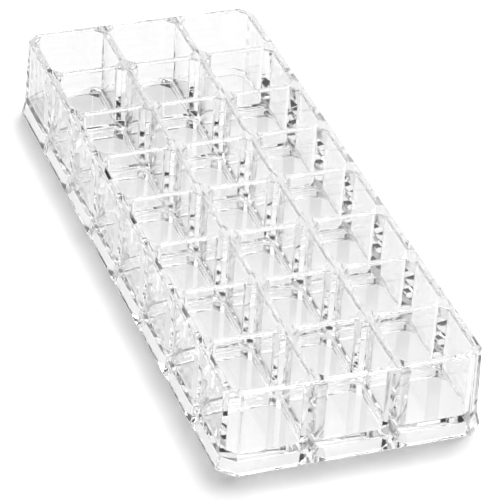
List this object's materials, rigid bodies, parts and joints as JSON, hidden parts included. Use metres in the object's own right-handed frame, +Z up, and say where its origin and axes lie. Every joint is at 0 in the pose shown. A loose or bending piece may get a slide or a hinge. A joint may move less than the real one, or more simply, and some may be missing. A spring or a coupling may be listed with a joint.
{
  "type": "vanity organizer",
  "caption": "Long clear plastic tray divided into rows of square wells that hold lipsticks and other small cosmetics upright on a vanity.",
  "frame": {"origin": "on the surface that the tray stands on, under the middle of the tray", "axes": "+Z up out of the wells; Y along the tray's length, with the end that is near in the picture at -Y; +X to the right as seen from that end"},
  "size_m": [0.0928, 0.2358, 0.0312],
  "materials": {
    "clear_polystyrene": "clear, colourless and polished, as it comes from the mould"
  },
  "bodies": {
    "root": {"base_plate": "clear_polystyrene", "front_foot": "clear_polystyrene", "rear_foot": "clear_polystyrene", "left_foot": "clear_polystyrene", "right_foot": "clear_polystyrene", "foot_corners": "clear_polystyrene", "rib_posts": "clear_polystyrene", "long_rib_1": "clear_polystyrene", "long_rib_2": "clear_polystyrene", "cross_rib_1": "clear_polystyrene", "cross_rib_2": "clear_polystyrene", "cross_rib_3": "clear_polystyrene", "cross_rib_4": "clear_polystyrene", "cross_rib_5": "clear_polystyrene", "cross_rib_6": "clear_polystyrene", "cross_rib_7": "clear_polystyrene", "front_wall": "clear_polystyrene", "rear_wall": "clear_polystyrene", "left_wall": "clear_polystyrene", "right_wall": "clear_polystyrene", "corner_posts": "clear_polystyrene", "wall_posts": "clear_polystyrene", "crossing_posts": "clear_polystyrene", "long_divider_1": "clear_polystyrene", "long_divider_2": "clear_polystyrene", "cross_divider_1": "clear_polystyrene", "cross_divider_2": "clear_polystyrene", "cross_divider_3": "clear_polystyrene", "cross_divider_4": "clear_polystyrene", "cross_divider_5": "clear_polystyrene", "cross_divider_6": "clear_polystyrene", "cross_divider_7": "clear_polystyrene"}
  },
  "joints": []
}
